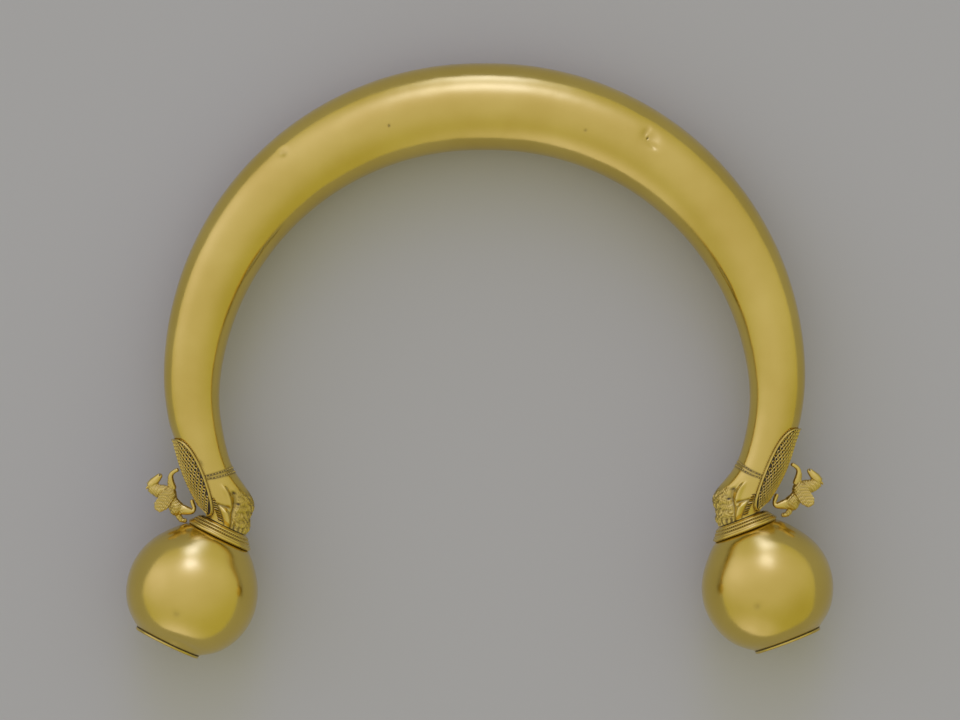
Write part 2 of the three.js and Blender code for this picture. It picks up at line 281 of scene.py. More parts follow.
smoothGold = goldMaterial("smoothGold")
wornGold = goldMaterial("wornGold", roughness=0.22, grain=0.15, patch=120)
wireGold = goldMaterial("wireGold", roughness=0.22, grain=0.08, patch=200)
print("gold mixed")

# hoop and lion's feet

hoop = {"radius": 112.8, "sideSwell": 1.0, "endTuck": 0.7, "tuckStart": 84, "back": 33.5, "end": 20.2,
        "legStart": 93, "legRows": 140, "columns": 200}
leg = {"sole": 9.2, "knee": 22, "ankle": 3, "heelRise": 5.6, "heelPlace": 0.54, "heelSpread": 0.155,
       "toeRise": 1.4, "toePlace": 0.8, "toeSpread": 0.1, "hollow": 1.0, "hollowFull": 0.2}
feet = [{"name": "left", "side": -1, "turn": 115.7, "inset": 1.8, "lean": 26, "panelTop": 0.14,
         "hindHoof": 0.7, "band": 0.406, "bandSlant": 0.071},
        {"name": "right", "side": 1, "turn": 114.8, "inset": 4.1, "lean": 21, "panelTop": 0.07,
         "hindHoof": 0.66, "band": 0.416, "bandSlant": 0.106}]
paw = {"grooveTop": 53, "grooveFoot": 72, "groove": 0.9, "toe": 1.25, "fur": 0.42, "ribs": 0.3,
       "ribPitch": 1.05, "tendon": 1.15, "hairLength": 2.9, "hairWidth": 0.85, "lumps": 0.2,
       "pit": 0.35, "toeTurn": 79, "tendonTurn": 69, "tuft": 0.55}
pits = [[0.5, 0], [0.585, -5]]  # how far down the leg, and how far from the groove in degrees
stain = {"foot": "left", "place": 0.305, "turn": 97, "dirtAndShade": 0.45}
band = {"apart": 0.024, "bead": 0.33, "pitch": 1.25}
# marks: [angle from the back, turn round the tube, depth, spread along, spread round (mm), how much darker]
marks = [[-39.1, 122.6, 0.5, 1.5, 1.8, 0.1],
         [32.2, 107, 0.75, 3.2, 3.0, 0.05],
         [31.0, 112, 0.5, 1.2, 2.4, 0.1],
         [33.6, 100, 0.45, 2.0, 1.2, 0.05],
         [31.9, 106.5, 0.5, 0.35, 0.5, 0.9],
         [-19.2, 81.6, 0.08, 0.5, 0.5, 0.7],
         [20.5, 78, 0.12, 0.6, 0.5, 0.35]]
creases = [[-62, -50, 38, 0.7], [59.5, 66.5, 41, 0.55]]  # first and last angle, turn, how much darker the crease is painted


def centreLine(angle):
    turn = abs(angle)
    drawnIn = max(0, turn - hoop["tuckStart"]) / (hoop["legStart"] - hoop["tuckStart"])
    swell = hoop["sideSwell"] * math.sin(2 * math.radians(turn))
    radius = hoop["radius"] + swell - hoop["endTuck"] * drawnIn ** 2
    return Vector((math.sin(math.radians(angle)), math.cos(math.radians(angle)))) * radius


def tubeRadius(angle):
    share = math.cos(math.radians(90) * min(1, abs(angle) / hoop["legStart"]))
    return lerp(hoop["end"], hoop["back"], share) / 2


def hoopMark(angle, turn):
    # (how far the surface is pushed in, how much darker it is painted there)
    sink, dirtAndShade = 0, 0
    radius = tubeRadius(angle)
    for place, round_, depth, along, across, dark in marks:
        far = math.radians(angle - place) * hoop["radius"] / along
        near = math.radians(turn - round_) * radius / across
        if abs(far) < 3 and abs(near) < 3:
            share = math.exp(-far * far - near * near)
            sink += depth * share
            dirtAndShade = max(dirtAndShade, dark * share)
    for first, last, line, dark in creases:
        within = smooth(angle, first - 1, first + 2) * (1 - smooth(angle, last - 2, last + 1))
        share = within * bump(math.radians(turn - line) * radius, 0.25 * math.sin(angle), 0.28)
        sink += 0.12 * share
        dirtAndShade = max(dirtAndShade, dark * share)
    return sink, dirtAndShade


def hoopPoint(angle, turn):
    centre = centreLine(angle)
    inward = -centre.normalized()
    radius = tubeRadius(angle) - hoopMark(angle, turn)[0]
    point = centre + inward * radius * math.cos(math.radians(turn))
    return Vector((point.x, point.y, radius * math.sin(math.radians(turn))))


def legPath(foot):
    reach = hoop["radius"] - foot["inset"]
    sole = Vector((math.sin(math.radians(foot["turn"])), math.cos(math.radians(foot["turn"])))) * reach
    down = Vector((math.sin(math.radians(foot["lean"])), -math.cos(math.radians(foot["lean"]))))
    top = centreLine(hoop["legStart"])
    onward = (centreLine(hoop["legStart"]) - centreLine(hoop["legStart"] - 1)).normalized()
    return [top, top + onward * leg["knee"], sole - down * leg["ankle"], sole]


for foot in feet:
    foot["path"] = legPath(foot)


def legCentre(foot, share):
    a, b, c, d = foot["path"]
    rest = 1 - share
    return a * rest ** 3 + b * 3 * rest ** 2 * share + c * 3 * rest * share ** 2 + d * share ** 3


for foot in feet:
    # how far down the leg each hundredth is, in mm
    foot["lengths"] = [0.0]
    for i in range(100):
        step = (legCentre(foot, (i + 1) / 100) - legCentre(foot, i / 100)).length
        foot["lengths"].append(foot["lengths"][-1] + step)


def lengthAt(foot, share):
    i = min(99, int(share * 100))
    return lerp(foot["lengths"][i], foot["lengths"][i + 1], share * 100 - i)


def shareAt(foot, length):
    i = max(0, min(99, sum(1 for known in foot["lengths"] if known <= length) - 1))
    before, after = foot["lengths"][i], foot["lengths"][i + 1]
    return (i + (length - before) / (after - before)) / 100


def legPoint(foot, share, turn, lift=0.0):
    facing = math.radians(lerp(270 - hoop["legStart"], 180 + foot["lean"], smooth(share, 0, 1)))
    inward = Vector((math.cos(facing), math.sin(facing)))
    round_ = lerp(hoop["end"] / 2, leg["sole"], share)
    heel = leg["heelRise"] * bump(share, leg["heelPlace"], leg["heelSpread"])
    toe = leg["toeRise"] * bump(share, leg["toePlace"], leg["toeSpread"])
    inner = math.cos(math.radians(turn))
    hollow = leg["hollow"] * smooth(share, 0, leg["hollowFull"])
    across = round_ + (heel + toe if inner > 0 else -hollow) + lift
    point = legCentre(foot, share) + inward * across * inner
    return Vector((foot["side"] * point.x, point.y, (round_ + lift) * math.sin(math.radians(turn))))


leaf = {"end": 0.975, "arch": 0.2, "turn": 81, "taper": 0.4, "skew": 0.6, "runOn": 1.04,
        "field": 0.9, "dome": 1.6, "domeFull": 0.7, "seam": 0.3, "tip": 0.012, "sheet": 0.25,
        "loop": 0.66, "wire": 0.18, "pitch": 1.72, "sunk": 0.9, "border": 0.3, "borderPlace": 0.972,
        "edgeShade": 0.2, "sheetRows": 70, "sheetColumns": 60, "lowerWire": 0.26, "ropeBead": 0.26,
        "ropePitch": 0.8, "ropePlace": 1.05, "ropeLift": 0.12}


def leafHalfTurn(foot, share):
    along = min(1, max(0.0001, (share - foot["panelTop"]) / (leaf["runOn"] - foot["panelTop"])))
    return leaf["turn"] * math.sin(math.pi * along ** leaf["skew"]) ** leaf["taper"]


def strokes(along, across, length, width):
    # short hairs set in staggered rows, 0 between them and 1 on them
    row = across / width
    column = along / length + 0.5 * (math.floor(row) % 2) + 0.35 * math.sin(math.floor(row) * 2.3)
    return max(0, math.sin(math.pi * (row % 1))) * max(0, math.sin(math.pi * (column % 1))) ** 0.5


def pawCarving(foot, share, turn):
    # (rise, darkening) of the lion's foot, the rise in mm; the darkening is painted shade in the grooves,
    # pits, lines and gaps and between the hairs; the hidden side of each foot is a plainer copy
    front = turn <= 180
    round_ = turn if front else 360 - turn
    plain = 1 if front else 0.6
    along = lengthAt(foot, share)
    left = foot["lengths"][-1] - along
    groove = lerp(paw["grooveTop"], paw["grooveFoot"], smooth(share, 0.44, 0.9))
    rise, dirtAndShade = 0, 0
    # fur from the groove round to the heel, with painted shade between the hairs
    furry = smooth(share, 0.44, 0.52) * (1 - smooth(round_, groove - 5, groove - 1))
    hair = strokes(along + 0.05 * round_, round_ * 0.2 + 0.6 * math.sin(along * 0.8),
                   paw["hairLength"], paw["hairWidth"])
    lumps = noise.noise(Vector((along * 0.35, round_ * 0.09, foot["side"] * 3)))
    rise += plain * furry * (paw["fur"] * (hair - 0.5) + paw["lumps"] * lumps)
    dirtAndShade = max(dirtAndShade, 0.6 * furry * (1 - hair) ** 2)
    # painted shade in the groove and the pits
    carved = smooth(share, 0.47, 0.52) * bump(round_, groove, 3.6)
    rise -= paw["groove"] * carved
    dirtAndShade = max(dirtAndShade, 0.55 * carved ** 2)
    for place, aside in pits:
        pit = bump(share, place, 0.013) * bump(round_, groove + aside, 4)
        rise -= paw["pit"] * pit
        dirtAndShade = max(dirtAndShade, pit)
    # middle toe, the line beside it, then the ribbed joint beside the leaf, with painted shade in the lines
    # and between the ribs
    toe = smooth(share, 0.655, 0.72) * bump(round_, paw["toeTurn"], 7) * smooth(left, 0, 2.2)
    rise += paw["toe"] * toe
    fold = bump(share, 0.645, 0.016) * smooth(round_, 66, 72) * (1 - smooth(round_, 90, 94))
    rise -= 0.45 * fold
    dirtAndShade = max(dirtAndShade, 0.55 * fold)
    beside = smooth(share, 0.6, 0.68) * bump(round_, 91, 2.2)
    rise -= 0.4 * beside
    dirtAndShade = max(dirtAndShade, 0.75 * beside ** 2)
    ribbed = (smooth(share, 0.575, 0.6) * smooth(left, 0.4, 1.2)
              * smooth(round_, 91, 94) * (1 - smooth(round_, 106, 111)))
    wave = math.sin(along * 2 * math.pi / paw["ribPitch"])
    rise += paw["ribs"] * ribbed * wave
    dirtAndShade = max(dirtAndShade, ribbed * max(0, 0.1 - wave))
    # tendon down the shank, with a hollow between it and the fur
    tendon = smooth(share, 0.43, 0.5) * (1 - smooth(share, 0.6, 0.68))
    rise += paw["tendon"] * tendon * bump(round_, paw["tendonTurn"], 4.5)
    rise -= 0.45 * tendon * bump(round_, 60, 4.5)
    # tufts end against the collar, with painted shade between the tufts and along the foot's end where it
    # meets the collar
    tuft = furry * (1 - smooth(left, 1.5, 4)) * (0.5 + 0.5 * math.sin(round_ * 0.42))
    rise -= paw["tuft"] * tuft
    dirtAndShade = max(dirtAndShade, 0.7 * tuft ** 2, 0.6 * (1 - smooth(left, 0.05, 0.3)))
    # painted shade: dark lines under the rows of the punched band and along the leaf's edge
    for row in (-0.5, 0.5):
        line = bump(bandOffset(foot, share, round_), row * band["apart"], 0.0075)
        line *= 1 - smooth(round_, 108, 114)
        rise -= 0.12 * line
        dirtAndShade = max(dirtAndShade, 0.95 * line)
    if foot["panelTop"] < share:
        outside = (180 - round_) / leafHalfTurn(foot, share)
        dirtAndShade = max(dirtAndShade, 0.35 * smooth(outside, 0.95, 0.99) * (1 - smooth(outside, 1.02, 1.05)))
    return rise, dirtAndShade


def bandOffset(foot, share, round_):
    return share - (foot["band"] - foot["bandSlant"] * math.cos(math.radians(round_)))


def hoopRows():
    # angles round the hoop, closer together where there are marks
    angles = [lerp(-hoop["legStart"], hoop["legStart"], i / 104) for i in range(105)]
    for mark in marks:
        step = math.degrees(0.45 * mark[3] / hoop["radius"])
        angles += [mark[0] + k * step for k in range(-6, 7)]
    return sorted(angles)


rowAngles = hoopRows()


def hoopPlace(u):
    # which part of the hoop row u belongs to: ("leg", foot, share) or ("arc", None, angle)
    rows = len(rowAngles) - 1 + 2 * hoop["legRows"]
    row = round(u * rows)
    if row < hoop["legRows"]:
        return "leg", feet[0], 1 - row / hoop["legRows"]
    if row > rows - hoop["legRows"]:
        return "leg", feet[1], 1 - (rows - row) / hoop["legRows"]
    return "arc", None, rowAngles[row - hoop["legRows"]]


hoopDirtAndShade = []


def hoopSkin(u, v):
    part, foot, where = hoopPlace(u)
    turn = 360 * (v % 1)
    if part == "arc":
        hoopDirtAndShade.append(hoopMark(where, turn)[1])
        return hoopPoint(where, turn)
    rise, dirtAndShade = pawCarving(foot, where, turn)
    if foot["name"] == stain["foot"]:  # oval stain on the shank
        dirtAndShade = max(dirtAndShade, stain["dirtAndShade"] * bump(where, stain["place"], 0.022) * bump(turn, stain["turn"], 5))
    hoopDirtAndShade.append(dirtAndShade)
    return legPoint(foot, where, turn, rise)


def makeHoop():
    rows = len(rowAngles) - 1 + 2 * hoop["legRows"]
    body = skin("hoopAndFeet", rows, hoop["columns"], hoopSkin)
    soilAndShadeEach(body, hoopDirtAndShade)
    closeUp(body, 1e-4)
    editAll(body)
    bpy.ops.mesh.select_all(action="DESELECT")
    bpy.ops.mesh.select_mode(type="EDGE")
    bpy.ops.mesh.select_non_manifold()
    bpy.ops.mesh.fill_holes(sides=0)
    bpy.ops.mesh.select_all(action="SELECT")
    bpy.ops.mesh.normals_make_consistent(inside=False)
    bpy.ops.mesh.select_mode(type="VERT")
    bpy.ops.object.mode_set(mode="OBJECT")
    toFloor(body)
    return finish(body, smoothGold, ["hoop"])


def bead(radius):
    deselectAll()
    bpy.ops.mesh.primitive_uv_sphere_add(segments=8, ring_count=5, radius=radius)
    return bpy.context.object


def makeBand(foot):
    grain = bead(band["bead"])
    places = []
    step = math.degrees(band["pitch"] / (hoop["end"] / 2))
    for row in (-0.5, 0.5):
        for i in range(int(116 / step)):
            turn = -6 + (i + (0.5 if row > 0 else 0)) * step
            share = foot["band"] - foot["bandSlant"] * math.cos(math.radians(turn)) + row * band["apart"]
            for side in (turn, 360 - turn):  # the front, then the same behind
                places.append(Matrix.Translation(legPoint(foot, share, side, -0.18)))
    beads = strew(grain, places, f"punchedBand_{foot['name']}")
    bpy.data.objects.remove(grain)
    soilAndShade(beads, lambda vertex: 0.1)
    toFloor(beads)
    return finish(beads, wornGold)


makeHoop()
for foot in feet:
    makeBand(foot)
print("hoop and feet carved")

# filigree leaves

def leafShare(foot, down, sideways):
    lowest = leaf["end"] - leaf["arch"] * (1 - sideways ** 2)
    return lerp(foot["panelTop"], lowest, down)


def leafLift(share, sideways):
    dome = leaf["dome"] * smooth(share, 0, leaf["domeFull"]) * (1 - sideways ** 2)
    return leaf["seam"] + leaf["field"] + dome


def leafPoint(foot, down, sideways):
    # on the sheet's top, which turns down to the leg at its edges and both ends
    share = leafShare(foot, down, sideways)
    lift = leafLift(share, sideways) - leaf["loop"] * leaf["sunk"]
    level = (1 - smooth(abs(sideways), 0.94, 1)) * smooth(down, leaf["tip"], leaf["tip"] + 0.02)
    lift = lerp(leaf["seam"] + 0.05, lift, level * (1 - smooth(down, 0.985, 1)))
    return legPoint(foot, share, 180 + sideways * leafHalfTurn(foot, share), lift)


def onLeaf(foot, share, turn, sink=0.0):
    sideways = (turn - 180) / leafHalfTurn(foot, share)
    return legPoint(foot, share, turn, leafLift(share, sideways) - sink)


def makeSheet(foot):
    amounts = []

    def pointAt(u, v):
        # painted shade under the loops, lighter along the edge
        sideways = lerp(-1, 1, v)
        amounts.append(lerp(1, leaf["edgeShade"], smooth(abs(sideways), 0.93, 0.96)))
        return leafPoint(foot, lerp(leaf["tip"], 1, u ** 1.3), sideways)
    sheet = skin(f"leafSheet_{foot['name']}", leaf["sheetRows"], leaf["sheetColumns"], pointAt)
    soilAndShadeEach(sheet, amounts)
    editAll(sheet)
    bpy.ops.mesh.normals_make_consistent(inside=False)
    bpy.ops.object.mode_set(mode="OBJECT")
    middle = sheet.data.polygons[len(sheet.data.polygons) // 2]
    outward = Vector((foot["side"], 0, 0))
    offset = -1 if middle.normal.dot(outward) > 0 else 1
    applyModifier(sheet, "SOLIDIFY", thickness=leaf["sheet"], offset=offset)
    closeUp(sheet, 1e-5)
    toFloor(sheet)
    return sheet


def loopOfWire():
    deselectAll()
    bpy.ops.mesh.primitive_torus_add(major_radius=leaf["loop"], minor_radius=leaf["wire"],
                                     major_segments=12, minor_segments=4)
    return bpy.context.object


def makeLoops(foot):
    loop = loopOfWire()
    places = []
    apart = leaf["pitch"] * 0.87
    first = lengthAt(foot, foot["panelTop"])
    for i in range(int((foot["lengths"][-1] - first) / apart)):
        share = shareAt(foot, first + (i + 0.7) * apart)
        halfTurn = leafHalfTurn(foot, min(share, 0.99))
        radius = lerp(hoop["end"] / 2, leg["sole"], share) + leaf["field"]
        step = math.degrees(leaf["pitch"] / radius)
        count = int(halfTurn / step) + 1
        for j in range(-count, count + 1):
            turn = 180 + (j + 0.5 * (i % 2)) * step
            sideways = (turn - 180) / halfTurn
            edge = 1 - step * 0.8 / halfTurn
            if abs(sideways) > edge or share > leaf["end"] - leaf["arch"] * (1 - sideways ** 2) - 0.008:
                continue
            here = onLeaf(foot, share, turn, leaf["loop"] * leaf["sunk"] - leaf["wire"] * leaf["sunk"])
            ahead = onLeaf(foot, share + 0.01, turn) - onLeaf(foot, share, turn)
            beside = onLeaf(foot, share, turn + 1) - onLeaf(foot, share, turn)
            normal = ahead.cross(beside).normalized()
            if normal.dot(here - Vector((*legCentreWorld(foot, share), 0))) < 0:
                normal.negate()
            places.append(frameAt(here, normal, ahead.normalized(), dice.uniform(0.94, 1.06)))
    loops = strew(loop, places, f"leafLoops_{foot['name']}")
    bpy.data.objects.remove(loop)
    soilAndShade(loops, lambda vertex: 0.0)
    toFloor(loops)
    return loops


def legCentreWorld(foot, share):
    centre = legCentre(foot, share)
    return foot["side"] * centre.x, centre.y


def borderLine(foot, place, lift, steps=90):
    points = []
    for i in range(steps + 1):
        down = lerp(leaf["tip"], 1, (i / steps) ** 1.2)
        share = leafShare(foot, down, place)
        points.append(legPoint(foot, share, 180 + place * leafHalfTurn(foot, share), lift))
    return points


def evenly(line, apart):
    # places at even distances along a line of points
    places = []
    walked = 0.0
    for before, after in zip(line, line[1:]):
        walked += (after - before).length
        if walked > apart:
            walked = 0.0
            places.append(Matrix.Translation(after))
    return places


def makeBorder(foot):
    place = leaf["borderPlace"]
    lift = leaf["seam"] + leaf["field"] - 0.05
    up = list(reversed(borderLine(foot, -place, lift)))
    down = borderLine(foot, place, lift)
    over = []  # round the upper tip
    for i in range(1, 16):
        sideways = lerp(-place, place, i / 16)
        share = leafShare(foot, leaf["tip"], sideways)
        over.append(legPoint(foot, share, 180 + sideways * leafHalfTurn(foot, share), lift))
    wire = wireAlong("border", up + over + down, leaf["border"])
    arch = []
    for i in range(41):
        sideways = lerp(-place, place, i / 40)
        share = leafShare(foot, 1, sideways)
        turn = 180 + sideways * leafHalfTurn(foot, share)
        arch.append(legPoint(foot, share, turn, leafLift(share, sideways) - 0.3))
    lower = wireAlong("archWire", arch, leaf["lowerWire"])
    # beads on the leg, just outside the wire
    grain = bead(leaf["ropeBead"])
    beads = []
    for side in (-1, 1):
        beads += evenly(borderLine(foot, side * leaf["ropePlace"], leaf["ropeLift"], 220), leaf["ropePitch"])
    rope = strew(grain, beads, "beadedLine")
    bpy.data.objects.remove(grain)
    for part, amount in ((wire, 0.0), (lower, 0.1), (rope, 0.1)):
        soilAndShade(part, lambda vertex, amount=amount: amount)
        toFloor(part)
    return [wire, lower, rope]


def makeLeaf(foot):
    sheet = makeSheet(foot)
    loops = makeLoops(foot)
    borders = makeBorder(foot)
    leafPiece = joinAll([sheet, loops, *borders], f"filigreeLeaf_{foot['name']}")
    return finish(leafPiece, wireGold, [f"filigree_panel_{foot['name']}"], angle=60)


for foot in feet:
    makeLeaf(foot)
print("filigree leaves wired")

# collars, balls and end discs

collar = {"height": 4.6, "top": 9.6, "foot": 12.3, "wire": 1.2, "standOff": 0.24, "ridges": 3, "rise": 0.45,
          "bead": 0.27, "beadPitch": 0.92, "steps": 96}
ball = {"radius": 25.42, "fullRadius": 25.6, "neckWidth": 12.4, "neck": 12.3, "neckRise": 1.1,
        "neckSpread": 13, "cap": 21, "seat": 13.2, "seatSpread": 14, "rows": 90, "steps": 150, "uneven": 0.16}
disc = {"edge": 0.9, "dome": 0.9, "round": 0.3, "lap": 0.1, "steps": 96, "bead": 0.22, "beadPitch": 0.6,
        "beadInset": 0.34, "sunk": 0.22}
seam = 0.3


def terminalPlace(foot, drop):
    sole = foot["path"][3]
    return (Matrix.Translation((foot["side"] * sole.x, sole.y, 0))
            @ Matrix.Rotation(math.radians(foot["side"] * foot["lean"]), 4, "Z")
            @ Matrix.Translation((0, drop, 0)))


def makeCollar(foot):
    cone = collar["height"] - collar["wire"]
    profile = [(0, 0)]
    for i in range(collar["ridges"]):
        for share in (0.0, 0.16, 0.3, 0.45, 0.6, 0.75, 0.9):
            radius = lerp(collar["top"], collar["foot"], (i + share) / collar["ridges"])
            raised = 0 if share < 0.3 else collar["rise"] * math.sin(math.pi * (share - 0.25) / 0.75) ** 0.6
            groove = 0.18 if share < 0.2 else 0
            profile.append((radius - groove + raised, -cone * (i + share) / collar["ridges"]))
    half = collar["wire"] / 2
    for i in range(9):
        turn = math.pi * (i / 8 - 0.5)
        radius = collar["foot"] + collar["standOff"] + half * math.cos(turn)
        profile.append((radius, -cone - half * (1 + math.sin(turn))))
    profile.append((0, -collar["height"]))
    cup = turned("cup", profile, collar["steps"])
    wireTop = -cone

    # painted shade: a dark line in the gutter at the top of each ridge after the first, and under the wire
    # where the collar meets the ball, over a faint even dirt
    def cupDirtAndShade(vertex):
        depth = -vertex.co.y / cone * collar["ridges"]
        radius = math.hypot(vertex.co.x, vertex.co.z)
        if radius < 2 or vertex.co.y < wireTop:
            return 0.15 if vertex.co.y < -collar["height"] + 0.15 else 0.0
        line = bump(depth % 1, 0.14, 0.13) if depth > 1 else 0  # the first ridge has no dark line
        return line + 0.04
    soilAndShade(cup, cupDirtAndShade)
    grain = bead(collar["bead"])
    places = []
    rings = [((i + 0.14) / collar["ridges"], 0.0) for i in range(1, collar["ridges"])]
    rings.append((collar["height"] / cone, 0.1))  # the last ring lies under the wire
    for share, out in rings:
        radius = lerp(collar["top"], collar["foot"], min(1, share)) + out
        count = int(2 * math.pi * radius / collar["beadPitch"])
        for k in range(count):
            turn = 2 * math.pi * k / count
            corner = (radius * math.cos(turn), -cone * share, radius * math.sin(turn))
            places.append(Matrix.Translation(corner))
    beads = strew(grain, places, "collarBeads")
    bpy.data.objects.remove(grain)
    soilAndShade(beads, lambda vertex: 0.1)
    piece = joinAll([cup, beads], f"ridgedCollar_{foot['name']}")
    piece.data.transform(terminalPlace(foot, -seam))
    toFloor(piece)
    return finish(piece, wornGold, [f"collar_{foot['name']}"], angle=45)


neckHeight = math.sqrt(ball["fullRadius"] ** 2 - ball["neckWidth"] ** 2) + ball["neckRise"]
# dents in the balls: [foot, place in the ball's own frame, depth, spread]
dents = [["left", (3.5, -19.5, 12.5), 0.9, 7.0], ["left", (8, -21.0, 9.5), 0.8, 4.0],
         ["left", (-3, -3, 25.2), 0.12, 5], ["left", (-1, -9, 24), 0.16, 1.6], ["left", (-14, 9, 19), 0.2, 5],
         ["right", (2, -1, 25.3), 0.15, 4.5], ["right", (-7, -13, 20.5), 0.22, 4],
         ["right", (9, 8, 22), 0.15, 5], ["right", (-7, -4, 24), 0.12, 1.5]]


def makeBall(foot):
    neckTurn = math.degrees(math.atan2(ball["neck"], neckHeight))
    seatTurn = math.degrees(math.atan2(ball["seat"], -ball["cap"]))
    atNeck = math.hypot(ball["neck"], neckHeight) - ball["radius"]
    atSeat = math.hypot(ball["seat"], ball["cap"]) - ball["radius"]
    profile = [(0, neckHeight)]
    for i in range(ball["rows"] + 1):
        turn = lerp(neckTurn, seatTurn, i / ball["rows"])
        reach = (ball["radius"] + atNeck * bump(turn, neckTurn, ball["neckSpread"])
                 + atSeat * bump(turn, seatTurn, ball["seatSpread"]))
        profile.append((reach * math.sin(math.radians(turn)), reach * math.cos(math.radians(turn))))
    profile.append((0, -ball["cap"]))
    sphere = turned(f"hollowBall_{foot['name']}", profile, ball["steps"])
    offset = Vector((foot["side"] * 37, 11, 5))
    for vertex in sphere.data.vertices:
        point = vertex.co.copy()
        if point.length < ball["cap"] - 0.01:
            continue
        outward = point.normalized()
        push = ball["uneven"] * (noise.noise(point * 0.07 + offset) - 0.35)
        for name, place, depth, spread in dents:
            if name == foot["name"]:
                push -= depth * bump((point - Vector(place)).length, 0, spread)
        edge = smooth(point.y, -ball["cap"] - 0.5, -ball["cap"] + 2.5)
        vertex.co = point + outward * push * edge

    # painted shade where the end disc and the collar meet the ball; darker spots in the small dents
    def ballDirtAndShade(vertex):
        radius = math.hypot(vertex.co.x, vertex.co.z)
        atEdge = bump(vertex.co.y, -ball["cap"], 0.35) if radius > 5 else 0
        underCollar = bump(vertex.co.y, neckHeight, 0.3)
        spot = 0
        for name, place, depth, spread in dents:
            if name == foot["name"] and spread < 2:
                spot = 0.2 * bump((vertex.co - Vector(place)).length, 0, spread * 0.8)
        return max(0.9 * atEdge, 0.2 * underCollar, spot)
    soilAndShade(sphere, ballDirtAndShade)
    sphere.data.transform(terminalPlace(foot, -seam - collar["height"] - seam - neckHeight))
    toFloor(sphere)
    return finish(sphere, smoothGold, [f"ball_{foot['name']}"], angle=40)


def makeDisc(foot):
    rim = ball["seat"] + disc["lap"]
    profile = [(0, 0), (rim - disc["round"], 0), (rim - 0.06, -0.12), (rim, -disc["edge"] / 2),
               (rim - 0.06, -disc["edge"] + 0.12), (rim - disc["round"], -disc["edge"])]
    for i in range(1, 15):
        share = 1 - i / 14
        profile.append((rim * 0.965 * share, -disc["edge"] - disc["dome"] * (1 - share ** 2)))
    plate = turned("plate", profile, disc["steps"])
    # painted shade on the plate's face that lies against the ball
    soilAndShade(plate, lambda vertex: 0.75 if vertex.co.y > -0.14 else 0.0)
    grain = bead(disc["bead"])
    count = int(2 * math.pi * rim / disc["beadPitch"])
    places = []
    for k in range(count):
        turn = 2 * math.pi * k / count
        reach = rim - disc["beadInset"]
        corner = (reach * math.cos(turn), -disc["edge"] - 0.02, reach * math.sin(turn))
        places.append(Matrix.Translation(corner))
    beads = strew(grain, places, "discBeads")
    bpy.data.objects.remove(grain)
    soilAndShade(beads, lambda vertex: 0.25)
    piece = joinAll([plate, beads], f"endDisc_{foot['name']}")
    drop = -seam - collar["height"] - seam - neckHeight - ball["cap"] - seam + disc["sunk"]
    piece.data.transform(terminalPlace(foot, drop))
    toFloor(piece)
    return finish(piece, wornGold, [f"end_cap_{foot['name']}"], angle=45)


for foot in feet:
    makeCollar(foot)
    makeBall(foot)
    makeDisc(foot)
print("collars, balls and discs turned")

# winged horses: each limb is a row of stations [forward, up, aside, half height, half width]

horse = {"length": 20, "stride": 0.32, "voxel": 0.2, "feather": 0.42, "coat": 0.3,
         "fuller": 1.2}  # fuller makes up for what rounding off takes away
horseForms = {
    "body": [[-0.31, 0.33, 0, 0.06, 0.05], [-0.26, 0.345, 0, 0.12, 0.095], [-0.18, 0.355, 0, 0.138, 0.115],
        [-0.09, 0.37, 0, 0.11, 0.1], [0, 0.38, 0, 0.09, 0.09], [0.09, 0.365, 0, 0.115, 0.105],
        [0.17, 0.355, 0, 0.12, 0.1], [0.24, 0.35, 0, 0.07, 0.06]],
    "neck": [[0.13, 0.37, 0, 0.12, 0.09], [0.215, 0.465, 0, 0.125, 0.085], [0.295, 0.565, 0, 0.108, 0.072],
        [0.385, 0.635, 0, 0.082, 0.056], [0.43, 0.65, 0, 0.055, 0.04]],
    "head": [[0.405, 0.68, 0, 0.04, 0.036], [0.43, 0.63, 0, 0.078, 0.06], [0.468, 0.52, 0, 0.08, 0.06],
        [0.508, 0.43, 0, 0.056, 0.042], [0.53, 0.37, 0, 0.046, 0.038], [0.54, 0.34, 0, 0.026, 0.022]],
    "tail": [[-0.29, 0.38, 0, 0.06, 0.05], [-0.38, 0.395, 0, 0.048, 0.042], [-0.45, 0.355, 0, 0.042, 0.038],
        [-0.475, 0.275, 0, 0.038, 0.036]],
}
horsePairs = {
    "foreleg": [[0.15, 0.29, 0.045, 0.095, 0.045], [0.29, 0.255, 0.06, 0.058, 0.04],
        [0.42, 0.215, 0.065, 0.045, 0.036], [0.475, 0.16, 0.065, 0.038, 0.034],
        [0.485, 0.08, 0.065, 0.032, 0.03], [0.485, 0.0, 0.065, 0.038, 0.035]],
    "hindleg": [[-0.2, 0.33, 0.05, 0.11, 0.055], [-0.3, 0.205, 0.07, 0.072, 0.05],
        [-0.385, 0.09, 0.075, 0.048, 0.038], [-0.33, 0.045, 0.07, 0.036, 0.033],
        [-0.22, 0.04, 0.065, 0.032, 0.03], [-0.14, 0.025, 0.065, 0.036, 0.034]],
    "wing": [[0.2, 0.27, 0.08, 0.075, 0.028], [0.135, 0.37, 0.11, 0.12, 0.034],
        [0.045, 0.52, 0.15, 0.13, 0.03], [-0.02, 0.65, 0.19, 0.105, 0.024],
        [-0.045, 0.73, 0.21, 0.055, 0.016]],
    "ear": [[0.42, 0.68, 0.035, 0.026, 0.02], [0.44, 0.73, 0.042, 0.012, 0.01]],
}


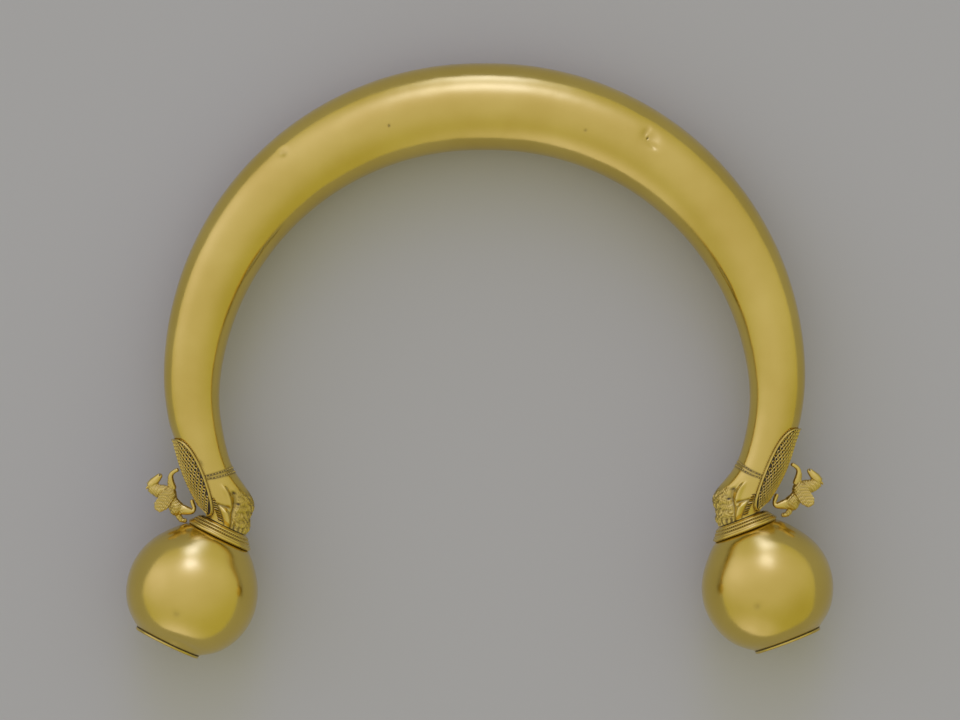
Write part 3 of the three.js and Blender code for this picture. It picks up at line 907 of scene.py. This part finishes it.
def limb(stations, side, sides=12):
    # a disc extruded once for each station, then carried to its place along the limb
    deselectAll()
    bpy.ops.mesh.primitive_circle_add(vertices=sides, radius=1, fill_type="NGON")
    obj = bpy.context.object
    bpy.ops.object.mode_set(mode="EDIT")
    for _ in stations[1:]:
        bpy.ops.mesh.extrude_region_move(TRANSFORM_OT_translate={"value": (0, 0, 1)})
    bpy.ops.object.mode_set(mode="OBJECT")
    for vertex in obj.data.vertices:
        i = round(vertex.co.z)
        before, after = stations[max(0, i - 1)], stations[min(len(stations) - 1, i + 1)]
        along = Vector((after[0] - before[0], after[1] - before[1])).normalized()
        forward, up, aside, high, wide = stations[i]
        out = horse["fuller"] * high * vertex.co.x
        sideways = side * aside + horse["fuller"] * wide * vertex.co.y
        vertex.co = Vector((forward - along.y * out, up + along.x * out, sideways))
        vertex.co *= horse["length"]
    applyModifier(obj, "SUBSURF", levels=2, render_levels=2)
    return closeUp(obj, 1e-5)


def spikes(places, size):
    # the cut teeth of mane and forelock
    deselectAll()
    bpy.ops.mesh.primitive_cone_add(vertices=6, radius1=size * 0.55, depth=size * 1.8)
    tooth = bpy.context.object
    teeth = strew(tooth, places, "teeth")
    bpy.data.objects.remove(tooth)
    return teeth


def onCrest(x, y, angle, aside=0.0):
    return (Matrix.Translation(Vector((x, y, aside)) * horse["length"])
            @ Matrix.Rotation(math.radians(angle), 4, "Z") @ Matrix.Rotation(math.radians(-90), 4, "X"))


def makeHorse(foot):
    parts = [limb(stations, 1) for stations in horseForms.values()]
    for stations in horsePairs.values():
        parts += [limb(stations, side) for side in (1, -1)]
    crest = [onCrest(lerp(0.13, 0.41, i / 7), lerp(0.555, 0.725, i / 7), 30) for i in range(8)]
    crest += [onCrest(lerp(0.5, 0.545, i / 3), lerp(0.67, 0.56, i / 3), -65) for i in range(4)]
    parts.append(spikes(crest, 0.8))
    body = joinAll(parts, f"wingedHorse_{foot['name']}_cast")
    applyModifier(body, "REMESH", mode="VOXEL", voxel_size=horse["voxel"], adaptivity=0)
    applyModifier(body, "SMOOTH", factor=0.5, iterations=2)
    long = horse["length"]
    hollowShade = []
    normals = [vertex.normal.copy() for vertex in body.data.vertices]
    for vertex, normal in zip(body.data.vertices, normals):
        x, y, z = vertex.co / long
        if abs(z) > 0.115 and y > 0.36:
            feather = strokes((y - x) * long, (x + 0.6 * y) * long, 1.9, 0.8)
            rise = horse["feather"] * (feather - 0.4)
        else:
            hair = strokes((x + 0.4 * y) * long, (y - 0.3 * x) * long + z * 9, 1.3, 0.7)
            onBody = smooth(y, 0.2, 0.3) * (1 - smooth(x, 0.42, 0.47))
            rise = horse["coat"] * onBody * (hair - 0.4)
        eye = bump((Vector((x, y, abs(z))) - Vector((0.462, 0.6, 0.055))).length, 0, 0.016)
        nostril = bump((Vector((x, y, abs(z))) - Vector((0.535, 0.385, 0.038))).length, 0, 0.012)
        mouth = bump(y - 0.365 - (x - 0.54) * 0.4, 0, 0.009) * smooth(x, 0.515, 0.54)
        rise += 0.2 * eye - 0.3 * nostril - 0.15 * mouth
        # painted shade: darker where the surface sinks between feathers and hairs, and in the nostrils and
        # mouth
        hollowShade.append(min(0.9, max(0, -rise * 4.5) + 0.5 * nostril + 0.3 * mouth))
        vertex.co += normal * rise
    soilAndShadeEach(body, hollowShade)

    def onPanel(share):
        return legPoint(foot, share, 180, leafLift(share, 0) + seam)
    hind = onPanel(foot["hindHoof"])
    forward = (onPanel(foot["hindHoof"] - horse["stride"]) - hind).normalized()
    up = Vector((foot["side"] * forward.y, -foot["side"] * forward.x, 0))
    aside = forward.cross(up)
    place = Matrix((forward, up, aside)).transposed().to_4x4()
    start = hind - forward * (horsePairs["hindleg"][-1][0] * long)
    body.data.transform(Matrix.Translation(start) @ place)
    toFloor(body)
    body.name = f"castHorse_{foot['name']}"
    return finish(body, wornGold, [f"winged_horse_{foot['name']}"], angle=70)


for foot in feet:
    makeHorse(foot)
print("winged horses cast")

# floor, light and camera

stage = {"floor": (0.51, 0.51, 0.42), "size": 8}
studio = {"fill": (0.5, 0.488, 0.24)}
shot = {"pixel": 0.385, "centreX": -1.73, "centreY": 15.28, "distance": 2200, "width": 960, "sensor": 36}

deselectAll()
bpy.ops.mesh.primitive_plane_add(size=stage["size"])
floor = bpy.context.object
floor.name = "studioFloor"
paper = bpy.data.materials.new("palePaper")
paper.use_nodes = True
paperShader = paper.node_tree.nodes["Principled BSDF"]
paperShader.inputs["Base Color"].default_value = (*stage["floor"], 1)
paperShader.inputs["Roughness"].default_value = 0.9
floor.data.materials.append(paper)
floor.location.z = -0.0002

world = bpy.data.worlds.new("softStudio")
bpy.context.scene.world = world
world.use_nodes = True
tree = world.node_tree
background = tree.nodes["Background"]
direction = tree.nodes.new("ShaderNodeTexCoord")
# soft lobes of light over a warm fill: [towards, sharpness, strength, colour]
daylight = (1.0, 1.2, 4.4)
skylight = (1.0, 0.97, 3.0)
lobes = [[(-0.1, 0.25, 0.96), 1.8, 0.17, skylight], [(0, 0.83, 0.56), 45, 0.66, daylight],
         [(-0.05, 0.8, 0.6), 10, 0.22, skylight], [(0, 0.99, 0.13), 60, 0.8, daylight],
         [(-0.85, 0.25, 0.35), 5, 0.14, skylight], [(-0.81, 0.47, 0.25), 12, 0.16, skylight],
         [(-0.34, -0.94, 0.1), 10, 0.28, skylight], [(0.8, 0.4, 0.3), 6, 0.08, skylight]]
total = None
for towards, sharpness, strength, colour in lobes:
    aim = tree.nodes.new("ShaderNodeVectorMath")
    aim.operation = "DOT_PRODUCT"
    aim.inputs[1].default_value = Vector(towards).normalized()
    tree.links.new(direction.outputs["Generated"], aim.inputs[0])
    positive = tree.nodes.new("ShaderNodeMath")
    positive.operation = "MAXIMUM"
    positive.inputs[1].default_value = 0
    tree.links.new(aim.outputs["Value"], positive.inputs[0])
    sharp = tree.nodes.new("ShaderNodeMath")
    sharp.operation = "POWER"
    sharp.inputs[1].default_value = sharpness
    tree.links.new(positive.outputs["Value"], sharp.inputs[0])
    added = tree.nodes.new("ShaderNodeVectorMath")
    added.operation = "MULTIPLY_ADD"
    added.inputs[1].default_value = Vector(colour) * strength
    tree.links.new(sharp.outputs["Value"], added.inputs[0])
    if total is None:
        added.inputs[2].default_value = studio["fill"]
    else:
        tree.links.new(total, added.inputs[2])
    total = added.outputs["Vector"]
background.inputs["Strength"].default_value = 1
tree.links.new(total, background.inputs["Color"])

centre = layDown @ Vector((shot["centreX"], shot["centreY"], 0))
upward = (layDown.to_3x3() @ Vector((0, 0, 1))).normalized()
bpy.ops.object.camera_add()
camera = bpy.context.object
camera.location = centre + upward * shot["distance"] * millimetre
camera.rotation_euler = (-math.radians(lie["tip"]), 0, 0)
camera.data.sensor_width = shot["sensor"]
camera.data.lens = shot["sensor"] * shot["distance"] / (shot["pixel"] * shot["width"])
camera.data.clip_end = 20
bpy.context.scene.camera = camera
bpy.context.scene.view_settings.view_transform = "Standard"
print("floor, light and camera set")
